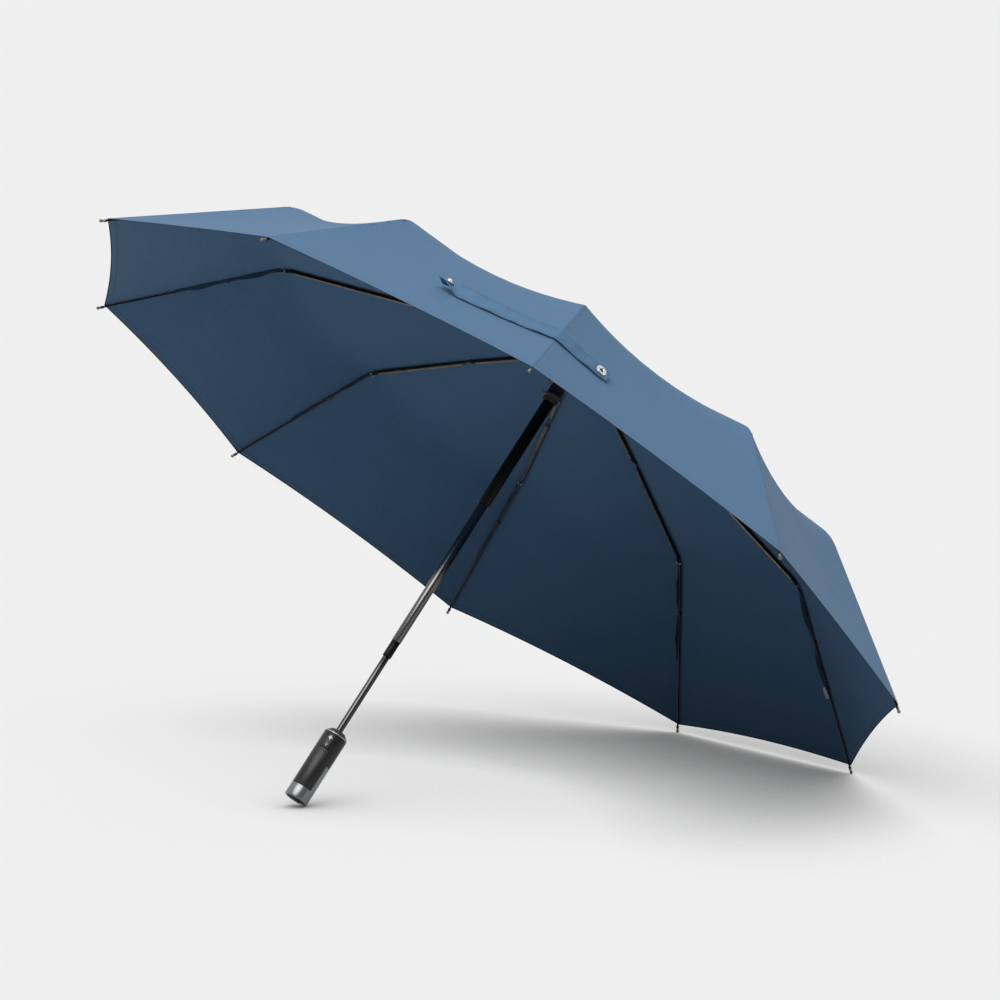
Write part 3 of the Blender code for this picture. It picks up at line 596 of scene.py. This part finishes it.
band_wave = band.noise(90.0, 3.0, (1.0, 0.4, 1.0))
band_weave = band_along.wave(THREADS)
band_tone = (band_wave * 0.9 + band_weave * 0.05).fade(0.2, 0.7)
band_colour = band_tone.mixed(CLOTH_DEEP, CLOTH_BLUE)
band.feed("Base Color", (band_line * band_stitch * 0.6).mixed(band_colour, THREAD_BLUE))
band.bump(band_wave * 0.8 - band_line * 0.25 + band_weave * 0.02, 0.0012, 0.9)
closing_strap = smooth_piece("closing_strap_band", strap, band.material)
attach(closing_strap, f"outer_rib_{STRAP_RIB:02d}")
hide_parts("closing_strap")
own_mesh(closing_strap)


# Small bright fittings: the two halves of the strap's snap, the crown's hinge wire, the collar on
# the handle and the spring behind the button. Pressed and turned metal, a little worn.
def metal(name, colour, dark, roughness, stretch=1.0, scale=160.0, metallic=1.0):
    """Metal or hard coating with faint cloudiness and fine scratches drawn out along the shaft."""
    plate = Finish(name, roughness, metallic)
    cloud = plate.drawn(scale * 0.25, tuple(standing.to_euler()), stretch)
    scratch = plate.drawn(scale, tuple(standing.to_euler()), stretch)
    plate.feed("Base Color", (cloud * 0.7 + scratch * 0.3).fade(0.25, 0.7).mixed(dark, colour))
    plate.feed("Roughness", scratch * 0.16 + (roughness - 0.08))
    plate.bump(scratch, 0.0001, 0.05)
    return plate.material


def rounded(node, body, material, width=0.0003, sharp=math.radians(32.0)):
    """Copy of a CAD piece with its corners eased and its turned faces smooth."""
    bm = bmesh.new()
    bm.from_mesh(frame["nodes"][node].data)
    bmesh.ops.remove_doubles(bm, verts=bm.verts, dist=0.000002)
    bmesh.ops.dissolve_limit(bm, angle_limit=math.radians(0.5), verts=bm.verts, edges=bm.edges)
    corners = [e for e in bm.edges if e.is_manifold and e.calc_face_angle(0.0) > sharp]
    if width > 0.0:
        bmesh.ops.bevel(bm, geom=corners, offset=width, offset_type="OFFSET", segments=2, profile=0.5,
                        affect="EDGES", clamp_overlap=True, material=-1)
    made = smooth_piece(f"{node}_finish", bm, material, sharp)
    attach(made, body)
    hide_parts(node)
    return made


def spun(profile, steps=48, whole=True):
    """Turned piece about Z from (radius, height) corners, closed into a ring or at the axis."""
    bm = bmesh.new()
    corners = [bm.verts.new((r, 0.0, z)) for r, z in profile]
    edges = [bm.edges.new(pair) for pair in zip(corners, corners[1:])]
    if whole:
        edges.append(bm.edges.new((corners[-1], corners[0])))
    bmesh.ops.spin(bm, geom=corners + edges, axis=(0.0, 0.0, 1.0), cent=(0.0, 0.0, 0.0),
                   angle=2.0 * math.pi, steps=steps, use_merge=True)
    bmesh.ops.remove_doubles(bm, verts=bm.verts, dist=0.000001)
    bmesh.ops.recalc_face_normals(bm, faces=bm.faces)
    return bm


def recoat(node, material):
    """Give a CAD piece that is shown as it is its material."""
    coats = frame["nodes"][node].data.materials
    coats.clear()
    coats.append(material)


SNAP_RING = (
    (0.0024, 0.0), (0.0060, 0.0), (0.0064, 0.0005), (0.0062, 0.0012),
    (0.0054, 0.0018), (0.0040, 0.0020), (0.0030, 0.0017), (0.0024, 0.0010),
)
SNAP_KNOB = (
    (0.0, 0.0), (0.0062, 0.0), (0.0063, 0.0006), (0.0052, 0.0011),
    (0.0028, 0.0012), (0.0024, 0.0034), (0.0017, 0.0042), (0.0, 0.0044),
)
SNAP_SHADE_DISC = ((0.0, 0.0004), (0.0022, 0.0004), (0.0022, 0.0008), (0.0, 0.0008))
SOCKET_PLACE = STRAP_RIGHT - 0.010
STUD_PLACE = 0.009 - STRAP_LEFT
SNAP_GAP = 0.0003
SNAP_STEP = 0.004
hole_painted_shade = metal("hole_painted_shade", (0.03, 0.03, 0.03), (0.02, 0.02, 0.02), 0.5)
bright_metal = metal("bright_metal", (0.72, 0.71, 0.70), (0.55, 0.54, 0.54), 0.24)
for node, profile, whole, along in (
    ("snap_socket", SNAP_RING, True, SOCKET_PLACE),
    ("snap_stud", SNAP_KNOB, False, STUD_PLACE),
):
    lengthwise = strap_point(along + SNAP_STEP, 0.0) - strap_point(along - SNAP_STEP, 0.0)
    crosswise = strap_point(along, SNAP_STEP) - strap_point(along, -SNAP_STEP)
    normal = crosswise.cross(lengthwise).normalized()
    centre = strap_point(along, 0.0) + normal * (STRAP_THICKNESS + SNAP_GAP)
    seat = Matrix.Translation(centre) @ normal.to_track_quat("Z", "X").to_matrix().to_4x4()
    snap = spun(profile, 40, whole)
    bmesh.ops.transform(snap, matrix=standing @ seat, verts=snap.verts)
    fitting = smooth_piece(f"{node}_ring", snap, bright_metal)
    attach(fitting, f"outer_rib_{STRAP_RIB:02d}")
    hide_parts(node)
    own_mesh(fitting)
    if whole:
        # A dark disc is set in the socket's hole as painted shade for its depth.
        hole = spun(SNAP_SHADE_DISC, 24, False)
        bmesh.ops.transform(hole, matrix=standing @ seat, verts=hole.verts)
        eye = smooth_piece(f"{node}_eye", hole, hole_painted_shade)
        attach(eye, f"outer_rib_{STRAP_RIB:02d}")
        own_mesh(eye)
satin_metal = metal("satin_metal", (0.46, 0.465, 0.475), (0.36, 0.364, 0.372), 0.48)
rounded("handle_collar", "handle", satin_metal, 0.0003)
recoat("crown_wire", bright_metal)
BUTTON_TRAVEL = 0.0016
press_way = Vector(joints["button_press"]["axis"]).normalized()
spring_points = [vertex.co for vertex in frame["nodes"]["button_spring"].data.vertices]
spring_depths = [press_way.dot(point) for point in spring_points]
spring_length = max(spring_depths) - min(spring_depths)
spring = rounded("button_spring", "handle", bright_metal, 0.0)
1.0 - BUTTON_TRAVEL / spring_length
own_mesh(spring)


# Ribs and stretchers. Rolled steel channels with a black coat that has worn to a warm brown in
# streaks; the outer ribs are round rods that end in a bare metal tip past the cloth.
TIP_START = 0.5268
TIP_EDGE = 0.0006
COAT_BLACK = (0.016, 0.016, 0.017)
COAT_WORN = (0.055, 0.045, 0.034)
BARE_TIP = (0.17, 0.155, 0.15)


def coated(name):
    """Black coat over steel with warm worn streaks, bare metal past the rim."""
    coat = Finish(name, 0.34, 0.75)
    cloud = coat.noise(70.0, 3.0)
    streak = coat.noise(900.0, 2.0)
    from_foot = coat.at.vector("SUBTRACT", tuple(handle_foot))
    off_shaft = from_foot.vector("CROSS_PRODUCT", tuple(up_shaft))
    tip = off_shaft.vector("LENGTH", out="Value").fade(TIP_START, TIP_START + TIP_EDGE)
    worn = (cloud * 0.6 + streak * 0.4).fade(0.52, 0.66)
    coat.feed("Base Color", tip.mixed(worn.mixed(COAT_BLACK, COAT_WORN), BARE_TIP))
    coat.feed("Metallic", tip * 0.35 + 0.65)
    coat.feed("Roughness", cloud * 0.2 + 0.24)
    coat.bump(streak, 0.0002, 0.08)
    return coat.material


rib_steel = coated("rib_steel")
for number in range(1, RIB_COUNT + 1):
    for piece in ("top_rib", "stretcher", "middle_rib"):
        recoat(f"{piece}_{number:02d}", rib_steel)
    rounded(f"outer_rib_{number:02d}", f"outer_rib_{number:02d}", rib_steel, 0.0)


# Ties, seam tapes, link wires and rivets on the ribs. A black clip and a drooping strip of seam cloth
# tie the canopy to each outer rib, and bronze link wires run along the open side of the channels.
def on_rib(hinge, slope, number, x, y, z):
    """Point in the umbrella's frame: x along a rib from its hinge, y round the shaft, z to the cloth."""
    radius, height = hinge + turned_up(slope, x, z)
    angle = (number - 0.5) * RIB_STEP
    down = radius * math.cos(angle) - y * math.sin(angle)
    return Vector((down, radius * math.sin(angle) + y * math.cos(angle), height))


def rod(bm, first, second, radius, steps=8):
    """Round wire between two points."""
    way = second - first
    middle = Matrix.Translation(0.5 * (first + second)) @ way.to_track_quat("Z", "X").to_matrix().to_4x4()
    bmesh.ops.create_cone(bm, cap_ends=True, segments=steps, radius1=radius, radius2=radius,
                          depth=way.length, matrix=middle)


def cloth_height(x):
    """Height of the cloth over an outer rib, x along it from its hinge."""
    return HINGE_OFFSET + FABRIC_LIFT + (RIM_LIFT - FABRIC_LIFT) * x / OUTER_RIB


STRIP_UV = (0.02, 0.05)


def hung_strip(place, number, steps, length, depth, thickness):
    """Thin cloth hung beside a rib: place gives a point from shares of the length and of the depth."""
    bm = bmesh.new()
    bmesh.ops.create_grid(bm, x_segments=steps[0], y_segments=steps[1], size=0.5)
    uv_layer = bm.loops.layers.uv.new("UVMap")
    u, v = STRIP_UV
    for face in bm.faces:
        for loop in face.loops:
            loop[uv_layer].uv = (u + loop.vert.co.x * length, v + loop.vert.co.y * depth)
    for vertex in bm.verts:
        vertex.co = place(number, vertex.co.x + 0.5, vertex.co.y + 0.5)
    bmesh.ops.recalc_face_normals(bm, faces=bm.faces)
    bmesh.ops.solidify(bm, geom=bm.faces[:], thickness=thickness)
    bmesh.ops.recalc_face_normals(bm, faces=bm.faces)
    bmesh.ops.transform(bm, matrix=standing, verts=bm.verts)
    return bm


TIE_PLACE = 0.066
TIE_PROFILE = (
    (0.0013, -0.0018), (0.0023, -0.0018), (0.0025, 0.0), (0.0023, 0.0018), (0.0013, 0.0018))
TAPE_START = 0.004
TAPE_DROOP = 0.0034
TAPE_SIDE = 0.0022
TAPE_WAVE = 0.0005
TAPE_WAVES = 260.0
TAPE_EDGE = 0.0008
TAPE_DEPTH = 0.008
TAPE_THICKNESS = 0.0003
CHANNEL_HALF_HEIGHT = 0.0016
CHANNEL_HALF_WIDTH = 0.0018
WIRE_RADIUS = 0.00032
WIRE_SIDE = 0.0008
WIRE_GAP = 0.0001
WIRE_MARGIN = 0.012
TOP_WIRE_START = 0.068
TOP_RIB = 0.1815
TOP_SLOPE = math.radians(9.4)
RIVET_FOOT = CHANNEL_HALF_WIDTH + 0.0001
RIVET_TOP = CHANNEL_HALF_WIDTH + 0.0007
RIVET_RADIUS = 0.0013
tape_length = 2.0 * (TIE_PLACE - TAPE_START)


def tape_point(number, share, hang):
    """Point on a seam tape, in two lobes that droop from the cloth on either side of the tie."""
    x = TAPE_START + share * tape_length
    lobe = math.sin(math.pi * (x - TAPE_START) / (TIE_PLACE - TAPE_START)) ** 2
    high = cloth_height(x) - TAPE_EDGE
    low = HINGE_OFFSET - TAPE_EDGE - TAPE_DROOP * lobe
    side = TAPE_SIDE + TAPE_WAVE * math.sin(TAPE_WAVES * x + number)
    return on_rib(joint_b, OUTER_SLOPE, number, x, side, low + (high - low) * hang)


crown_hinge = rib_plane(crown_hinges[0])
middle_length = (joint_b - joint_a).length
bronze = metal("bronze_wire", (0.40, 0.31, 0.21), (0.27, 0.20, 0.13), 0.30)
# The seam tapes are real cloth strips; their dark blue is partly painted shadow, standing in for the shaded
# gap between rod and seam.
TAPE_PAINTED_SHADOW = tuple(0.6 * c for c in THREAD_BLUE)
tape_cloth_painted_shadow = woven("tape_cloth_painted_shadow", THREAD_BLUE, TAPE_PAINTED_SHADOW, THREAD_BLUE)
for number in range(1, RIB_COUNT + 1):
    tie = spun(TIE_PROFILE, 20)
    lie = Quaternion((0.0, 0.0, 1.0), (number - 0.5) * RIB_STEP)
    lie = lie @ Quaternion((0.0, 1.0, 0.0), 0.5 * math.pi + OUTER_SLOPE)
    seat = Matrix.Translation(on_rib(joint_b, OUTER_SLOPE, number, TIE_PLACE, 0.0, HINGE_OFFSET))
    bmesh.ops.transform(tie, matrix=standing @ seat @ lie.to_matrix().to_4x4(), verts=tie.verts)
    clip = smooth_piece(f"tie_{number:02d}", tie, rib_steel)
    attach(clip, f"outer_rib_{number:02d}")

    tape = hung_strip(tape_point, number, (36, 4), tape_length, TAPE_DEPTH, TAPE_THICKNESS)
    seam_tape = smooth_piece(f"seam_tape_{number:02d}", tape, tape_cloth_painted_shadow)
    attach(seam_tape, f"outer_rib_{number:02d}")

    for body, hinge, slope, start, stop, centre in (
        ("top_rib", crown_hinge, TOP_SLOPE, TOP_WIRE_START, TOP_RIB - WIRE_MARGIN, 0.0),
        ("middle_rib", joint_a, MIDDLE_SLOPE, WIRE_MARGIN, middle_length - WIRE_MARGIN, -HINGE_OFFSET),
    ):
        wires = bmesh.new()
        depth = centre - CHANNEL_HALF_HEIGHT - WIRE_RADIUS - WIRE_GAP
        for side in (-WIRE_SIDE, WIRE_SIDE):
            first = on_rib(hinge, slope, number, start, side, depth)
            rod(wires, first, on_rib(hinge, slope, number, stop, side, depth), WIRE_RADIUS)
        bmesh.ops.transform(wires, matrix=standing, verts=wires.verts)
        links = smooth_piece(f"{body}_wires_{number:02d}", wires, bronze)
        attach(links, f"{body}_{number:02d}")

    heads = bmesh.new()
    for side in (-1.0, 1.0):
        foot = on_rib(joint_b, OUTER_SLOPE, number, 0.0, side * RIVET_FOOT, 0.0)
        top = on_rib(joint_b, OUTER_SLOPE, number, 0.0, side * RIVET_TOP, 0.0)
        rod(heads, foot, top, RIVET_RADIUS, 14)
    bmesh.ops.transform(heads, matrix=standing, verts=heads.verts)
    rivet = smooth_piece(f"rivet_{number:02d}", heads, bright_metal)
    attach(rivet, f"middle_rib_{number:02d}")


# Care label. A blank strip of pale woven tape, folded once across and caught in the seam beside one
# outer rib, so that its fold hangs free of the cloth.
LABEL_RIB = 10
LABEL_START = 0.119
LABEL_LENGTH = 0.014
LABEL_DEPTH = 0.005
LABEL_SIDE = 0.0034
LABEL_WAVE = 0.0009
LABEL_WAVES = 300.0
LABEL_THICKNESS = 0.0004
LABEL_UNDER_CLOTH = 0.0018
LABEL_WHITE = (0.90, 0.93, 0.96)
LABEL_SHADE = (0.80, 0.84, 0.88)
LABEL_THREAD = (0.60, 0.63, 0.66)


def label_point(number, share, hang):
    """Point on the label, which hangs from under the cloth and waves a little at its fold."""
    x = LABEL_START + share * LABEL_LENGTH
    side = LABEL_SIDE + LABEL_WAVE * hang * math.sin(LABEL_WAVES * (x - LABEL_START))
    high = cloth_height(x) - LABEL_UNDER_CLOTH
    return on_rib(joint_b, OUTER_SLOPE, number, x, side, high - hang * LABEL_DEPTH)


label_strip = hung_strip(label_point, LABEL_RIB, (12, 6), LABEL_LENGTH, LABEL_DEPTH, LABEL_THICKNESS)
label_cloth = woven("label_cloth", LABEL_WHITE, LABEL_SHADE, LABEL_THREAD, gloss=0.3)
care_label = smooth_piece("care_label", label_strip, label_cloth)
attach(care_label, f"outer_rib_{LABEL_RIB:02d}")


# Crown, top cap and runner. Black moulded plastic with a satin skin; the runner's skirt carries a
# pressed brass ring.
def moulded(name, colour, roughness, speckle=900.0):
    """Moulded plastic with a fine satin texture and faint flow marks."""
    skin = Finish(name, roughness)
    grain = skin.noise(speckle, 2.0)
    flow = skin.noise(40.0, 3.0)
    lighter = tuple(1.6 * c + 0.004 for c in colour)
    skin.feed("Base Color", (flow * 0.7 + grain * 0.3).fade(0.3, 0.75).mixed(colour, lighter))
    skin.feed("Roughness", grain * 0.16 + (roughness - 0.08))
    skin.bump(grain, 0.00025, 0.12)
    skin.shader.inputs["Specular IOR Level"].default_value = 0.36
    return skin.material


black_plastic = moulded("black_plastic", (0.010, 0.010, 0.011), 0.42)
brass = metal("brass_ring", (0.60, 0.43, 0.17), (0.40, 0.27, 0.10), 0.28)
rounded("crown", "upper_shaft", black_plastic, 0.0002)
rounded("top_cap", "upper_shaft", black_plastic, 0.0004)
rounded("runner", "runner", black_plastic, 0.0002)
rounded("runner_ring", "runner", brass, 0.0002)


# Shaft. Three drawn steel tubes that slide in one another: the upper one black, the two below it
# polished dark, with a black guide bush at the foot of the middle one.
DRAWN = 60.0
DRAWN_SCALE = 220.0
tube_black = metal(
    "tube_black", (0.014, 0.014, 0.014), (0.008, 0.008, 0.008), 0.34, DRAWN, DRAWN_SCALE, 0.9)
tube_dark = metal("tube_dark", (0.15, 0.146, 0.142), (0.10, 0.098, 0.096), 0.18, DRAWN, DRAWN_SCALE)
tube_lower = metal(
    "tube_lower", (0.080, 0.079, 0.078), (0.050, 0.050, 0.049), 0.15, DRAWN, DRAWN_SCALE)
for node, body, material, slot in (
    ("upper_tube", "upper_shaft", tube_black, "black_steel"),
    ("middle_tube", "middle_shaft", tube_dark, "gunmetal"),
    ("middle_bush", "middle_shaft", tube_black, "black_steel"),
    ("lower_tube", "handle", tube_lower, "gunmetal"),
):
    rounded(node, body, material, 0.0002)


# Handle. A gunmetal sleeve with a satin black grip let into it, a dark cap in the base and a push
# button near the top, marked with plain arrows for opening and closing.
BRUSHED = 20.0
BRUSHED_SCALE = 260.0
gunmetal = metal(
    "gunmetal", (0.235, 0.243, 0.255), (0.165, 0.171, 0.180), 0.33, BRUSHED, BRUSHED_SCALE, 0.9)
grip_black = moulded("grip_black", (0.008, 0.008, 0.009), 0.38, 1400.0)
rounded("handle_sleeve", "handle", gunmetal, 0.0003)
rounded("handle_grip", "handle", grip_black, 0.0004)
base_black = moulded("base_black", (0.004, 0.004, 0.004), 0.7)
rounded("base_cap", "handle", base_black, 0.0003)
rounded("push_button", "push_button", black_plastic, 0.0006)
recoat("handle_core", black_plastic)

BUTTON_ANGLE = math.radians(221.0)
BUTTON_HEIGHT = 0.0715
BUTTON_FACE = 0.01445
ARROW_PLACE = 0.0040
ARROW_THICKNESS = 0.0003
ARROW_OUTLINE = (
    (-0.0026, 0.0), (0.0, 0.0029), (0.0026, 0.0), (0.0010, 0.0),
    (0.0010, -0.0019), (-0.0010, -0.0019), (-0.0010, 0.0),
)
white_paint = moulded("white_paint", (0.62, 0.62, 0.61), 0.55)
for name, way in (("button_arrow_up", 1.0), ("button_arrow_down", -1.0)):
    arrow = bmesh.new()
    corners = [arrow.verts.new((0.0, y, way * (z + ARROW_PLACE))) for y, z in ARROW_OUTLINE]
    arrow.faces.new(corners)
    bmesh.ops.recalc_face_normals(arrow, faces=arrow.faces)
    bmesh.ops.triangulate(arrow, faces=arrow.faces[:])
    bmesh.ops.solidify(arrow, geom=arrow.faces[:], thickness=ARROW_THICKNESS)
    for vertex in arrow.verts:
        angle = BUTTON_ANGLE + vertex.co.y / BUTTON_FACE
        radius = BUTTON_FACE + vertex.co.x
        vertex.co = (radius * math.cos(angle), radius * math.sin(angle), BUTTON_HEIGHT + vertex.co.z)
    bmesh.ops.recalc_face_normals(arrow, faces=arrow.faces)
    bmesh.ops.transform(arrow, matrix=standing, verts=arrow.verts)
    mark = smooth_piece(name, arrow, white_paint)
    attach(mark, "push_button")
